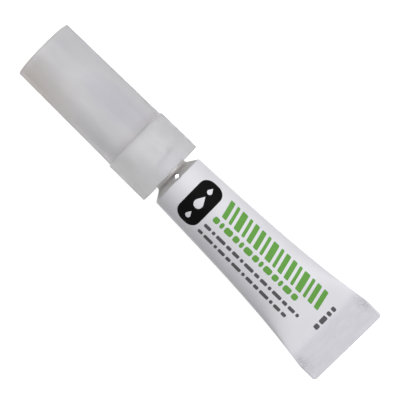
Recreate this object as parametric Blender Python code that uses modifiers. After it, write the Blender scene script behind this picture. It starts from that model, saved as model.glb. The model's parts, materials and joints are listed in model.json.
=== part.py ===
"""Small aluminium tube of gel glue, lying on its collar, with its long cloudy cap screwed on.

Units are metres. Along the tube, +X points from the folded tail to the closed end of the cap, and the printed
face looks up, towards +Z. Every piece is modelled about its own Z axis, which an empty on the tube's centre line
then lays along X: the empty carries all of them, so a station below is a distance along the tube.
"""

import math

import bmesh
import bpy
import numpy as np

MM = 0.001

# Aluminium tube
TUBE_DIAMETER = 13.5 * MM
TUBE_WALL = 0.15 * MM
BODY_LENGTH = 45.5 * MM
CLOSING_LENGTH = 13.5 * MM
FLAT_LENGTH = 2.6 * MM
FOLD_LENGTH = 5.0 * MM
FOLD_LAYER_GAP = 0.06 * MM
FOLD_CORNER_CLIP = 0.6 * MM
FLAT_EDGE_LOSS = 0.25 * MM
EVEN_SPREAD = 0.5
LATE_SPREAD_POWER = 3.4
SHOULDER_SLOPE = math.radians(57.5)
SHOULDER_WALL = 0.45 * MM
SHOULDER_EDGE_RADIUS = 0.3 * MM
NECK_DIAMETER = 8.4 * MM
NECK_BORE = 6.0 * MM
NECK_HEIGHT = 8.3 * MM
NECK_FILLET = 0.8 * MM
MEMBRANE_THICKNESS = 0.15 * MM
CAVITY_END_ABOVE_FLAT = 0.8 * MM
SEALANT_START_ABOVE_FLAT = 2.0 * MM
SEALANT_END_ABOVE_FLAT = 5.0 * MM

# Cap
CAP_LENGTH = 39.3 * MM
CAP_TAPER = 0.6 * MM
CAP_WALL = 1.1 * MM
CAP_END_WALL = 1.2 * MM
CAP_EDGE_RADIUS = 0.3 * MM
COLLAR_LENGTH = 10.8 * MM
COLLAR_WALL = 1.4 * MM
COLLAR_DRAFT = 0.06 * MM
COLLAR_LEDGE = 0.45 * MM
COLLAR_MOUTH_CHAMFER = 0.4 * MM
MOUTH_ABOVE_NECK_ROOT = 0.24 * MM
PLUG_SOCKET_DEPTH = 5.5 * MM
PLUG_SOCKET_WALL = 0.8 * MM

# Nozzle
SKIRT_INSET = 0.25 * MM
SKIRT_RECESS = 0.5 * MM
DECK_THICKNESS = 1.8 * MM
DECK_EDGE_RADIUS = 0.5 * MM
SPOUT_HEIGHT = 16.5 * MM
SPOUT_BASE_DIAMETER = 5.2 * MM
SPOUT_TIP_DIAMETER = 2.5 * MM
SPOUT_FILLET = 0.7 * MM
ORIFICE_DIAMETER = 1.5 * MM
SPIKE_DIAMETER = 2.7 * MM
SPIKE_REACH = 2.4 * MM
SPIKE_POINT_LENGTH = 1.1 * MM
GUSSET_COUNT = 4
GUSSET_THICKNESS = 0.8 * MM
GUSSET_HEIGHT = 6.6 * MM
GUSSET_REACH = 4.7 * MM
GUSSET_SUNK = 0.45 * MM

# Plug and pin in the cap
PLUG_DIAMETER = 4.4 * MM
PLUG_CUP_DEPTH = 1.6 * MM
PIN_DIAMETER = 0.9 * MM
PIN_DEPTH_IN_PLUG = 7.0 * MM
PIN_REACH_IN_NOZZLE = 3.5 * MM
PIN_POINT_LENGTH = 0.5 * MM

# Clearances
SEAT_GAP = 0.3 * MM
PIN_GAP = 0.2 * MM
THREAD_GAP = 0.4 * MM

# Smoothness
CAP_SEGMENTS = 56
NOZZLE_SEGMENTS = 40
SMALL_SEGMENTS = 20
TUBE_SEGMENTS = 44
FILL_SEGMENTS = 28
BODY_STATIONS = 10
CLOSING_STATIONS = 8
FILL_STATIONS = 14
SEALANT_STATIONS = 5
ROUND_SECTION = 2.0
FLAT_SECTION = 8.0
SMOOTH_ANGLE = math.radians(35)

# Stations and sizes that follow from the ones above
TUBE_RADIUS = TUBE_DIAMETER / 2
NECK_RADIUS = NECK_DIAMETER / 2
STRIP_HALF_THICKNESS = TUBE_WALL
FLAT_HALF_WIDTH = math.pi * TUBE_DIAMETER / 4 - FLAT_EDGE_LOSS
NECK_ROOT_ABOVE_SHOULDER = (
    NECK_FILLET - (NECK_RADIUS + NECK_FILLET - TUBE_RADIUS) * math.cos(SHOULDER_SLOPE)
) / math.sin(SHOULDER_SLOPE)
TUBE_LENGTH = FOLD_LENGTH + FLAT_LENGTH + BODY_LENGTH
MOUTH_ABOVE_SHOULDER = NECK_ROOT_ABOVE_SHOULDER + MOUTH_ABOVE_NECK_ROOT
OVERALL_LENGTH = TUBE_LENGTH + MOUTH_ABOVE_SHOULDER + CAP_LENGTH

TAIL_END = -OVERALL_LENGTH / 2
FOLD_FRONT = TAIL_END + FOLD_LENGTH
FLAT_START = FOLD_FRONT + FLAT_LENGTH
SHOULDER = FLAT_START + BODY_LENGTH
NECK_ROOT = SHOULDER + NECK_ROOT_ABOVE_SHOULDER
NECK_TOP = NECK_ROOT + NECK_HEIGHT
CAP_MOUTH = SHOULDER + MOUTH_ABOVE_SHOULDER
CAP_STEP = CAP_MOUTH + COLLAR_LENGTH
CAP_TIP = CAP_MOUTH + CAP_LENGTH
CAP_INNER_END = CAP_TIP - CAP_END_WALL
DECK_UNDERSIDE = NECK_TOP + SEAT_GAP
DECK_TOP = DECK_UNDERSIDE + DECK_THICKNESS
SPOUT_TIP = DECK_TOP + SPOUT_HEIGHT
SPIKE_END = NECK_TOP - SPIKE_REACH
SKIRT_RADIUS = TUBE_RADIUS - SKIRT_INSET
COLLAR_BORE_RADIUS = SKIRT_RADIUS + THREAD_GAP
COLLAR_RADIUS = COLLAR_BORE_RADIUS + COLLAR_WALL
CAP_RADIUS = COLLAR_RADIUS - COLLAR_LEDGE
CAP_TIP_RADIUS = CAP_RADIUS - CAP_TAPER / 2
AXIS_HEIGHT = COLLAR_RADIUS


def clear_scene():
    for obj in list(bpy.data.objects):
        bpy.data.objects.remove(obj, do_unlink=True)


def new_collection(name):
    collection = bpy.data.collections.new(name)
    bpy.context.scene.collection.children.link(collection)
    return collection


def plain_material(name, colour, roughness, metallic=0.0, transmission=0.0):
    material = bpy.data.materials.new(name)
    material.use_nodes = True
    shader = material.node_tree.nodes["Principled BSDF"]
    shader.inputs["Base Color"].default_value = (*colour, 1.0)
    shader.inputs["Roughness"].default_value = roughness
    shader.inputs["Metallic"].default_value = metallic
    shader.inputs["Transmission Weight"].default_value = transmission
    return material


def finish_mesh(mesh, material):
    mesh.materials.append(material)
    mesh.shade_smooth()
    mesh.set_sharp_from_angle(angle=SMOOTH_ANGLE)


def add_piece(name, mesh, material, collection, axis):
    finish_mesh(mesh, material)
    piece = bpy.data.objects.new(name, mesh)
    collection.objects.link(piece)
    piece.parent = axis
    return piece


def arc(centre, radius, start, end, steps):
    """Points (radius, station) on an arc in the profile's plane; the angles are in degrees from the +radius side."""
    angles = np.radians(np.linspace(start, end, steps + 1))
    return [(centre[0] + radius * math.cos(a), centre[1] + radius * math.sin(a)) for a in angles]


def turned(name, profile, segments, material, collection, axis, closed_loop=False):
    """A piece turned from (radius, station) points, which run down its outer side first."""
    mesh = bpy.data.meshes.new(name)
    edges = [(i, i + 1) for i in range(len(profile) - 1)]
    if closed_loop:
        edges.append((len(profile) - 1, 0))
    mesh.from_pydata([(radius, 0.0, station) for radius, station in profile], edges, [])
    piece = add_piece(name, mesh, material, collection, axis)
    screw = piece.modifiers.new("turn", "SCREW")
    screw.steps = segments
    screw.render_steps = segments
    screw.use_merge_vertices = True
    screw.merge_threshold = 1e-6
    screw.use_smooth_shade = True
    return piece


def section_offsets(half_width, half_height, squareness, count):
    """(across, through) of points round a section, which goes from an ellipse to a flat strip as it gets squarer."""
    angles = np.linspace(0.0, 2.0 * math.pi, count, endpoint=False)
    across = half_width * np.sin(angles)
    through = half_height * np.sign(np.cos(angles)) * np.abs(np.cos(angles)) ** (2.0 / squareness)
    return across, through


def girth(half_width, half_height):
    across, through = section_offsets(half_width, half_height, ROUND_SECTION, 360)
    return np.hypot(np.roll(across, -1) - across, np.roll(through, -1) - through).sum()


def half_height_of_girth(half_width):
    """The half height that leaves the sheet as long round the section as it is round the tube."""
    low, high = 0.0, half_width
    for _ in range(40):
        middle = (low + high) / 2
        if girth(half_width, middle) < girth(TUBE_RADIUS, TUBE_RADIUS):
            low = middle
        else:
            high = middle
    return (low + high) / 2


def body_half_width(station):
    """The sides spread slowly at first and faster near the tail, from the round shoulder to the flat strip."""
    share = (SHOULDER - station) / (SHOULDER - FOLD_FRONT)
    spread = EVEN_SPREAD * share + (1 - EVEN_SPREAD) * share**LATE_SPREAD_POWER
    return TUBE_RADIUS + (FLAT_HALF_WIDTH - TUBE_RADIUS) * spread


def body_section(station):
    """(half width, half height, squareness) of the tube's outside, from the shoulder to the flat strip."""
    half_width = body_half_width(station)
    closing = min((station - FLAT_START) / CLOSING_LENGTH, 1.0)
    openness = math.sin(max(closing, 0.0) * math.pi / 2)
    full_height = half_height_of_girth(half_width)
    half_height = STRIP_HALF_THICKNESS + (full_height - STRIP_HALF_THICKNESS) * openness
    return half_width, half_height, FLAT_SECTION + (ROUND_SECTION - FLAT_SECTION) * openness


def body_stations(inset_from_flat):
    """Stations down the body, close together where the walls come together."""
    closing_start = FLAT_START + CLOSING_LENGTH
    upper = np.linspace(SHOULDER, closing_start, BODY_STATIONS, endpoint=False)
    lower = np.linspace(closing_start, FLAT_START + inset_from_flat, CLOSING_STATIONS + 1)
    return [*upper, *lower]


def ring(half_width, half_height, squareness, count, station, lift=0.0, direction=(0.0, -1.0)):
    """A closed section, square to the direction (lift, station) that the sheet runs in."""
    across, through = section_offsets(half_width, half_height, squareness, count)
    return [
        (lift - direction[1] * thick, wide, station + direction[0] * thick)
        for wide, thick in zip(across, through)
    ]


def round_ring(radius, station, count):
    return ring(radius, radius, ROUND_SECTION, count, station)


def loft(name, rings, material, collection, axis):
    """One closed surface through rings of as many points each, with a cap on the first and on the last."""
    bm = bmesh.new()
    loops = [[bm.verts.new(point) for point in points] for points in rings]
    for here, there in zip(loops, loops[1:]):
        for i in range(len(here)):
            j = (i + 1) % len(here)
            bm.faces.new((here[i], here[j], there[j], there[i]))
    bm.faces.new(loops[0])
    bm.faces.new(loops[-1])
    bmesh.ops.recalc_face_normals(bm, faces=bm.faces)
    mesh = bpy.data.meshes.new(name)
    bm.to_mesh(mesh)
    bm.free()
    return add_piece(name, mesh, material, collection, axis)


def fold_half_width(station):
    """The corners of the fold are clipped at 45 degrees."""
    return FLAT_HALF_WIDTH - max(0.0, FOLD_CORNER_CLIP - (station - TAIL_END))


def fold_rings():
    """The pressed strip, rolled twice over itself on the unprinted side. Lift is away from the print.

    From the print down, the layers are the strip itself, then the tucked-in end, then the layer that holds it.
    """
    pitch = 2 * STRIP_HALF_THICKNESS + FOLD_LAYER_GAP
    tail_turn = TAIL_END + pitch + STRIP_HALF_THICKNESS
    front_turn = FOLD_FRONT - pitch / 2 - STRIP_HALF_THICKNESS
    clip_start = TAIL_END + FOLD_CORNER_CLIP
    path = [(0.0, station, (0.0, -1.0)) for station in (FOLD_FRONT, clip_start)]
    for angle in np.linspace(0.0, math.pi, 7):
        lift = pitch - pitch * math.cos(angle)
        path.append((lift, tail_turn - pitch * math.sin(angle), (math.sin(angle), -math.cos(angle))))
    path.append((2 * pitch, clip_start, (0.0, 1.0)))
    for angle in np.linspace(0.0, math.pi, 5):
        lift = 1.5 * pitch + 0.5 * pitch * math.cos(angle)
        path.append((lift, front_turn + 0.5 * pitch * math.sin(angle), (-math.sin(angle), math.cos(angle))))
    path.append((pitch, clip_start, (0.0, -1.0)))
    path.append((pitch, tail_turn + FOLD_LAYER_GAP, (0.0, -1.0)))
    return [
        ring(fold_half_width(station), STRIP_HALF_THICKNESS, FLAT_SECTION, TUBE_SEGMENTS, station, lift, direction)
        for lift, station, direction in path
    ]


def shoulder_profile():
    """(radius, station) down the outside of neck and shoulder, from the neck's top to the shoulder's edge."""
    turn = math.degrees(SHOULDER_SLOPE)
    fillet = arc((NECK_RADIUS + NECK_FILLET, NECK_ROOT), NECK_FILLET, 180, 180 + turn, 3)
    edge_run = SHOULDER_EDGE_RADIUS * math.tan(SHOULDER_SLOPE / 2)
    edge_centre = (TUBE_RADIUS - SHOULDER_EDGE_RADIUS, SHOULDER - edge_run)
    edge = arc(edge_centre, SHOULDER_EDGE_RADIUS, turn, 0, 2)
    return [(NECK_RADIUS, NECK_TOP), *fillet, *edge]


def make_tube_shell(material, collection, axis):
    """Body, shoulder, neck with its pierced membrane, and folded tail: one piece of metal, from outside to inside."""
    membrane_hole = SPIKE_DIAMETER / 2 + PIN_GAP
    bore = NECK_BORE / 2
    inner_neck_root = SHOULDER + (TUBE_RADIUS - bore) / math.tan(SHOULDER_SLOPE) - SHOULDER_WALL

    outer = [round_ring(radius, station, TUBE_SEGMENTS) for radius, station in shoulder_profile()]
    for station in body_stations(0.0)[1:]:
        outer.append(ring(*body_section(station), TUBE_SEGMENTS, station))
    outer.extend(fold_rings())

    inner_profile = [
        (membrane_hole, NECK_TOP),
        (membrane_hole, NECK_TOP - MEMBRANE_THICKNESS),
        (bore, NECK_TOP - MEMBRANE_THICKNESS),
        (bore, inner_neck_root),
        (TUBE_RADIUS - TUBE_WALL, SHOULDER - SHOULDER_WALL),
    ]
    inner = [round_ring(radius, station, TUBE_SEGMENTS) for radius, station in inner_profile]
    for station in body_stations(CAVITY_END_ABOVE_FLAT)[1:]:
        half_width, half_height, squareness = body_section(station)
        section = (half_width - TUBE_WALL, half_height - TUBE_WALL, squareness)
        inner.append(ring(*section, TUBE_SEGMENTS, station))
    return loft("tube_shell", [*reversed(outer), *inner], material, collection, axis)


def filling_rings(stations, inset):
    rings = []
    for station in stations:
        half_width, half_height, squareness = body_section(station)
        section = (half_width - inset, half_height - inset, squareness)
        rings.append(ring(*section, FILL_SEGMENTS, station))
    return rings


def make_glue_gel(material, collection, axis):
    """The filling: it stands in the neck's bore, under the spike, and reaches down to the sealing band."""
    inset = TUBE_WALL + SEAT_GAP
    stub = NECK_BORE / 2 - SEAT_GAP
    inner_neck_root = SHOULDER + (TUBE_RADIUS - stub) / math.tan(SHOULDER_SLOPE) - SHOULDER_WALL
    widest = SHOULDER - SHOULDER_WALL - SEAT_GAP
    rings = [
        round_ring(stub, SPIKE_END - SEAT_GAP, FILL_SEGMENTS),
        round_ring(stub, inner_neck_root - SEAT_GAP, FILL_SEGMENTS),
        round_ring(TUBE_RADIUS - inset, widest, FILL_SEGMENTS),
    ]
    lowest = FLAT_START + SEALANT_END_ABOVE_FLAT + SEAT_GAP
    rings.extend(filling_rings(np.linspace(widest, lowest, FILL_STATIONS)[1:], inset))
    return loft("glue_gel", rings, material, collection, axis)


def make_tail_sealant(material, collection, axis):
    """The band of sealing compound between the walls, where they come together."""
    inset = TUBE_WALL + SEAT_GAP
    upper = FLAT_START + SEALANT_END_ABOVE_FLAT
    lower = FLAT_START + SEALANT_START_ABOVE_FLAT
    rings = filling_rings(np.linspace(upper, lower, SEALANT_STATIONS), inset)
    return loft("tail_sealant", rings, material, collection, axis)


def make_gussets(collection, axis):
    """Thin triangular webs that stiffen the foot of the spout, midway between the tube's flat and edge planes."""
    inner = (ORIFICE_DIAMETER + SPOUT_TIP_DIAMETER) / 4
    outline = [
        (inner, DECK_TOP - GUSSET_SUNK),
        (GUSSET_REACH, DECK_TOP - GUSSET_SUNK),
        (GUSSET_REACH, DECK_TOP + SPOUT_FILLET),
        (inner, DECK_TOP + GUSSET_HEIGHT),
    ]
    curve = bpy.data.curves.new("gusset_outline", "CURVE")
    curve.dimensions = "2D"
    curve.fill_mode = "BOTH"
    curve.extrude = GUSSET_THICKNESS / 2
    spline = curve.splines.new("POLY")
    spline.points.add(len(outline) - 1)
    for point, (radius, station) in zip(spline.points, outline):
        point.co = (radius, station, 0.0, 1.0)
    spline.use_cyclic_u = True
    drawn = bpy.data.objects.new("gusset_outline", curve)
    collection.objects.link(drawn)
    bpy.context.view_layer.update()
    mesh = bpy.data.meshes.new_from_object(drawn.evaluated_get(bpy.context.evaluated_depsgraph_get()))
    bpy.data.objects.remove(drawn)
    bm = bmesh.new()
    bm.from_mesh(mesh)
    bmesh.ops.remove_doubles(bm, verts=bm.verts, dist=1e-6)
    bmesh.ops.recalc_face_normals(bm, faces=bm.faces)
    bm.to_mesh(mesh)
    bm.free()
    for index in range(GUSSET_COUNT):
        gusset = bpy.data.objects.new(f"gusset_{index + 1}", mesh)
        collection.objects.link(gusset)
        gusset.parent = axis
        gusset.rotation_euler = (math.pi / 2, 0.0, (index + 0.5) * 2 * math.pi / GUSSET_COUNT)
        gusset.hide_render = True
        gusset.display_type = "WIRE"


def make_nozzle(material, collection, gusset_collection, axis):
    """One moulding: skirt round the neck, deck over it, hollow spike below and tapered spout above."""
    bore = ORIFICE_DIAMETER / 2
    spike = SPIKE_DIAMETER / 2
    neck_room = NECK_RADIUS + SEAT_GAP
    skirt_end = CAP_MOUTH + SKIRT_RECESS
    fillet_centre = (SPOUT_BASE_DIAMETER / 2 + SPOUT_FILLET, DECK_TOP + SPOUT_FILLET)
    deck_edge_centre = (SKIRT_RADIUS - DECK_EDGE_RADIUS, DECK_TOP - DECK_EDGE_RADIUS)
    profile = [
        (bore, SPOUT_TIP),
        (SPOUT_TIP_DIAMETER / 2, SPOUT_TIP),
        *arc(fillet_centre, SPOUT_FILLET, 180, 270, 4),
        *arc(deck_edge_centre, DECK_EDGE_RADIUS, 90, 0, 3),
        (SKIRT_RADIUS, skirt_end),
        (neck_room, skirt_end),
        (neck_room, DECK_UNDERSIDE),
        (spike, DECK_UNDERSIDE),
        (spike, SPIKE_END + SPIKE_POINT_LENGTH),
        (bore + PIN_GAP / 2, SPIKE_END),
        (bore, SPIKE_END),
    ]
    nozzle = turned("nozzle", profile, NOZZLE_SEGMENTS, material, collection, axis, closed_loop=True)
    webs = nozzle.modifiers.new("gussets", "BOOLEAN")
    webs.operation = "UNION"
    webs.operand_type = "COLLECTION"
    webs.collection = gusset_collection
    webs.solver = "EXACT"
    return nozzle


def make_cap(material, collection, axis):
    """The long cap, tapered a little, with its wider threaded collar and the plug's socket in the closed end."""
    collar_top = COLLAR_RADIUS - COLLAR_DRAFT
    socket = PLUG_DIAMETER / 2 + SEAT_GAP
    socket_end = CAP_INNER_END - PLUG_SOCKET_DEPTH
    profile = [
        (0.0, CAP_TIP),
        *arc((CAP_TIP_RADIUS - CAP_EDGE_RADIUS, CAP_TIP - CAP_EDGE_RADIUS), CAP_EDGE_RADIUS, 90, 0, 3),
        (CAP_RADIUS, CAP_STEP),
        *arc((collar_top - CAP_EDGE_RADIUS, CAP_STEP - CAP_EDGE_RADIUS), CAP_EDGE_RADIUS, 90, 0, 3),
        (COLLAR_RADIUS, CAP_MOUTH),
        (COLLAR_BORE_RADIUS + COLLAR_MOUTH_CHAMFER, CAP_MOUTH),
        (COLLAR_BORE_RADIUS, CAP_MOUTH + COLLAR_MOUTH_CHAMFER),
        (COLLAR_BORE_RADIUS, CAP_STEP - CAP_WALL / 2),
        (CAP_RADIUS - CAP_WALL, CAP_STEP),
        (CAP_TIP_RADIUS - CAP_WALL, CAP_INNER_END),
        (socket + PLUG_SOCKET_WALL, CAP_INNER_END),
        (socket + PLUG_SOCKET_WALL, socket_end),
        (socket, socket_end),
        (socket, CAP_INNER_END),
        (0.0, CAP_INNER_END),
    ]
    return turned("cap", profile, CAP_SEGMENTS, material, collection, axis)


def make_cap_seal_plug(material, collection, axis):
    """The soft plug in the cap's closed end: a cup that seats on the spout's tip, with the pin's blind hole above."""
    outer = PLUG_DIAMETER / 2
    cup = SPOUT_TIP_DIAMETER / 2 + SEAT_GAP
    hole = PIN_DIAMETER / 2 + PIN_GAP
    cup_floor = SPOUT_TIP + SEAT_GAP
    cup_mouth = SPOUT_TIP - PLUG_CUP_DEPTH
    hole_end = cup_floor + PIN_DEPTH_IN_PLUG + PIN_GAP
    profile = [
        (0.0, CAP_INNER_END - SEAT_GAP),
        (outer, CAP_INNER_END - SEAT_GAP),
        (outer, cup_mouth),
        (cup, cup_mouth),
        (cup, cup_floor),
        (hole, cup_floor),
        (hole, hole_end),
        (0.0, hole_end),
    ]
    return turned("cap_seal_plug", profile, SMALL_SEGMENTS, material, collection, axis)


def make_clearing_pin(material, collection, axis):
    """The steel pin that the plug holds: it stands in the orifice and keeps it open."""
    radius = PIN_DIAMETER / 2
    upper = SPOUT_TIP + SEAT_GAP + PIN_DEPTH_IN_PLUG
    lower = SPOUT_TIP - PIN_REACH_IN_NOZZLE
    profile = [(0.0, upper), (radius, upper), (radius, lower + PIN_POINT_LENGTH), (radius / 3, lower), (0.0, lower)]
    return turned("clearing_pin", profile, SMALL_SEGMENTS, material, collection, axis)


def main():
    clear_scene()
    pieces = new_collection("glue_tube")
    gusset_shapes = new_collection("gusset_shapes")

    axis = bpy.data.objects.new("tube_axis", None)
    axis.location = (0.0, 0.0, AXIS_HEIGHT)
    axis.rotation_euler = (0.0, math.pi / 2, 0.0)
    pieces.objects.link(axis)

    aluminium = plain_material("enamelled_aluminium", (0.75, 0.75, 0.74), 0.3, metallic=0.3)
    cloudy_plastic = plain_material("cloudy_plastic", (0.55, 0.55, 0.55), 0.35, transmission=0.3)
    natural_plastic = plain_material("natural_plastic", (0.72, 0.72, 0.70), 0.4)
    soft_plastic = plain_material("soft_plastic", (0.62, 0.62, 0.60), 0.5)
    steel = plain_material("steel", (0.55, 0.55, 0.56), 0.25, metallic=1.0)
    gel = plain_material("gel", (0.80, 0.80, 0.76), 0.1, transmission=0.9)
    compound = plain_material("sealing_compound", (0.35, 0.33, 0.28), 0.6)

    make_tube_shell(aluminium, pieces, axis)
    make_tail_sealant(compound, pieces, axis)
    make_glue_gel(gel, pieces, axis)
    make_gussets(gusset_shapes, axis)
    make_nozzle(natural_plastic, pieces, gusset_shapes, axis)
    make_clearing_pin(steel, pieces, axis)
    make_cap_seal_plug(soft_plastic, pieces, axis)
    make_cap(cloudy_plastic, pieces, axis)


main()
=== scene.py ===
"""The looks of a small aluminium tube of gel glue, with a folded tail and a long cloudy screw cap.

Units are metres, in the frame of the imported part: +X runs from the folded tail to the closed end of the
cap, and +Z points up, out of the printed face. A place that the frame holds is read from it, and the sizes
below are the rest.
"""

import json
import math
from itertools import cycle

import bmesh
import bpy
import numpy as np
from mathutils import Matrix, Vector
from mathutils.bvhtree import BVHTree

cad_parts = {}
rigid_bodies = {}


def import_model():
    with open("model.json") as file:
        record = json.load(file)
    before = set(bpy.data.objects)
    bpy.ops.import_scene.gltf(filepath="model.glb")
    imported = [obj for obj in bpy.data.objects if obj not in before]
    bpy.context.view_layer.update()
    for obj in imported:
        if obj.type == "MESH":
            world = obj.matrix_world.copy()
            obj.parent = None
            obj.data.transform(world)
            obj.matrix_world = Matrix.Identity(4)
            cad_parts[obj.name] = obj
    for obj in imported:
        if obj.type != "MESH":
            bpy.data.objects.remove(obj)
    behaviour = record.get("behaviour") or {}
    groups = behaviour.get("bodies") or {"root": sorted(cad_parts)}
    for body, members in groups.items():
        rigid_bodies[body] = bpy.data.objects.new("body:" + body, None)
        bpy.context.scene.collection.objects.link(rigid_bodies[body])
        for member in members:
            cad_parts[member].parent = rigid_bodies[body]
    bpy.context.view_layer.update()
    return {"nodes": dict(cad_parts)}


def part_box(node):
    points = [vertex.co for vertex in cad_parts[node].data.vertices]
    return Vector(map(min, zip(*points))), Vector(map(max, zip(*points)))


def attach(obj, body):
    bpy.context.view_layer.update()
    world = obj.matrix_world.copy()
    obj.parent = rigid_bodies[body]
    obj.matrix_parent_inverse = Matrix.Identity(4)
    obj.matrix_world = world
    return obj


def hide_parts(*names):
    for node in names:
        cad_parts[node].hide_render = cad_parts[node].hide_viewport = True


MM = 0.001

# Tube
TUBE_WALL = 0.15 * MM
BODY_LENGTH = 45.5 * MM
CLOSING_LENGTH = 13.5 * MM
CLOSING_EASE = 0.03
FLAT_LENGTH = 2.6 * MM
FOLD_LENGTH = 5.0 * MM
FOLD_LAYER_GAP = 0.06 * MM
FOLD_CORNER_CLIP = 0.6 * MM
FOLD_SKEW = 0.026
EVEN_SPREAD = 0.5
LATE_SPREAD_POWER = 3.4
CAVITY_END_ABOVE_FLAT = 0.8 * MM
SHOULDER_SLOPE = math.radians(57.5)
SHOULDER_WALL = 0.45 * MM
SHOULDER_EDGE_RADIUS = 0.3 * MM
ENAMEL_OVERLAP = 0.35 * MM
NECK_RADIUS = 4.2 * MM
NECK_BORE_RADIUS = 3.0 * MM
NECK_FILLET = 0.8 * MM
MEMBRANE_THICKNESS = 0.15 * MM
MEMBRANE_HOLE_RADIUS = 1.55 * MM

# The small flat that the press left on the shoulder
LAND_STATION = 6.475 * MM
LAND_ACROSS = -0.6 * MM
LAND_RADIUS = 5.6 * MM
LAND_HALF_LENGTH = 0.8 * MM
LAND_HALF_WIDTH = 1.15 * MM
LAND_SLOPE = 0.19
LAND_TILT = 0.144
LAND_SHINE_REACH = 1.6 * MM

# The marks of the jaws and of handling on the flat strip, its darker mottle, and painted shade at its side
# dents
EDGE_IMPRINT_RISE = 0.05 * MM
EDGE_IMPRINT_WIDTH = 0.7 * MM
TAIL_RISE = 0.08 * MM
TAIL_RISE_START = 1.9 * MM
TAIL_RISE_WIDTH = 1.9 * MM
SIDE_DENT_DEPTH = 0.12 * MM
SIDE_DENT_HALF_LENGTH = 1.1 * MM
SIDE_DENT_SHARE = 0.2
STRIP_BEAD_RISE = 0.05 * MM
STRIP_BEAD_INSET = 0.45 * MM
STRIP_BEAD_HALF_WIDTH = 0.35 * MM
STRIP_BEAD_FADE = 1.5 * MM
STRIP_DARKENING_REACH = 5.0 * MM
STRIP_DARKENING_SOFTNESS = 0.42
SIDE_DENT_SHADE_SIZE = (3.4 * MM, 1.9 * MM, 3.0 * MM)
SIDE_DENT_SHADE_INSET = 0.9 * MM

# Nozzle
DECK_THICKNESS = 1.8 * MM
DECK_EDGE_RADIUS = 0.5 * MM
SPOUT_HEIGHT = 16.5 * MM
SPOUT_BASE_RADIUS = 2.6 * MM
SPOUT_TIP_RADIUS = 1.25 * MM
SPOUT_EDGE_RADIUS = 0.15 * MM
SPOUT_FILLET = 0.7 * MM
ORIFICE_RADIUS = 0.75 * MM
SPIKE_RADIUS = 1.35 * MM
SPIKE_LENGTH = 2.7 * MM
SPIKE_POINT_LENGTH = 1.1 * MM
SPIKE_POINT_WALL = 0.1 * MM
NECK_ROOM_RADIUS = 4.5 * MM
GUSSET_COUNT = 4
GUSSET_THICKNESS = 0.8 * MM
GUSSET_HEIGHT = 6.6 * MM
GUSSET_REACH = 4.7 * MM
GUSSET_DEPTH_IN_DECK = 0.45 * MM

# Cap
CAP_TAPER = 0.3 * MM
CAP_WALL = 1.1 * MM
CAP_END_WALL = 1.2 * MM
CAP_EDGE_RADIUS = 0.3 * MM
COLLAR_LENGTH = 10.8 * MM
COLLAR_WALL = 1.4 * MM
COLLAR_DRAFT = 0.06 * MM
COLLAR_LEDGE = 0.45 * MM
COLLAR_MOUTH_RADIUS = 0.2 * MM
COLLAR_MOUTH_CHAMFER = 0.4 * MM
LEDGE_RUN = 0.6 * MM
PLUG_SOCKET_DEPTH = 5.5 * MM
PLUG_SOCKET_RADIUS = 2.5 * MM
PLUG_SOCKET_WALL = 0.8 * MM
GATE_MARK_RADIUS = 0.6 * MM
GATE_MARK_FLOOR_RADIUS = 0.54 * MM
GATE_MARK_DEPTH = 0.08 * MM

# Painted light on the cap: darker on its lit side and lighter on its shaded side; painted shade
# below the ledge, from what is inside, on the lower side and at the mouth
CAP_PAINTED_DARKER_SIDE = -3.2 * MM
CAP_PAINTED_LIGHTER_SIDE = 0.8 * MM
LEDGE_SHADE_LENGTH = 2.4 * MM
LEDGE_SHADE_SOFTNESS = 0.01
SPOUT_SHADE_ACROSS = -2.4 * MM
LOW_SIDE_SHADE_ACROSS = 4.4 * MM
MOUTH_SHADE_ACROSS = -0.6 * MM

# Plug and pin
PLUG_CUP_RADIUS = 1.55 * MM
PLUG_EDGE_RADIUS = 0.15 * MM
PIN_HOLE_RADIUS = 0.65 * MM
PIN_HOLE_SPARE = 0.2 * MM
PIN_EDGE_RADIUS = 0.06 * MM
PIN_POINT_LENGTH = 0.5 * MM
PIN_POINT_SHARE = 1 / 3
CENTRE_SHARE = 1 / 8
SEAT_GAP = 0.3 * MM

# Threads, right-handed; the cap's ridge runs half a turn behind the nozzle's
THREAD_LEAD = 3.175 * MM
THREAD_HEIGHT = 0.33 * MM
THREAD_ROOT_WIDTH = 1.15 * MM
THREAD_CREST_WIDTH = 0.5 * MM
THREAD_FADE = 0.22
NOZZLE_THREAD_PHASE = 0.0
NOZZLE_THREAD_FROM_SKIRT_END = 1.2 * MM
NOZZLE_THREAD_FROM_DECK_TOP = 1.3 * MM
CAP_THREAD_PHASE = 0.5
CAP_THREAD_FROM_CHAMFER = 0.9 * MM
CAP_THREAD_FROM_BORE_END = 1.3 * MM

# Print, as stations along the tube and distances round it from its top line
INK_LIFT = 0.02 * MM
INK_THICKNESS = 0.045 * MM
INK_CUT = 0.6 * MM
BADGE_ENDS = (-4.1 * MM, 1.9 * MM)
BADGE_HALF_WIDTH = 5.9 * MM
BADGE_CORNER_RADIUS = 2.6 * MM
BARS_ENDS = (-5.7 * MM, -35.6 * MM)
BAR_SIDES = (-5.7 * MM, -1.15 * MM)
BAR_WIDTHS = (1.25 * MM, 0.8 * MM, 1.6 * MM, 0.8 * MM, 1.25 * MM)
BAR_GAP = 0.75 * MM
BAR_SLANT = 0.22
BAR_CORNER_RADIUS = 0.25 * MM
DASH_GAP = 0.5 * MM
DASH_ROUNDNESS = 0.35
GREEN_DASHES = (1.5 * MM, 0.9 * MM, 2.1 * MM)
GREY_DASHES = (1.9 * MM, 0.8 * MM, 2.6 * MM, 1.3 * MM)
CROSS_DASHES = (0.9 * MM, 0.9 * MM, 1.9 * MM, 1.2 * MM)
CROSS_DASH_ENDS = (-39.3 * MM, -38.1 * MM)
CROSS_DASH_CORNER_RADIUS = 0.3 * MM
CROSS_ROW_START = -4.3 * MM
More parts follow.
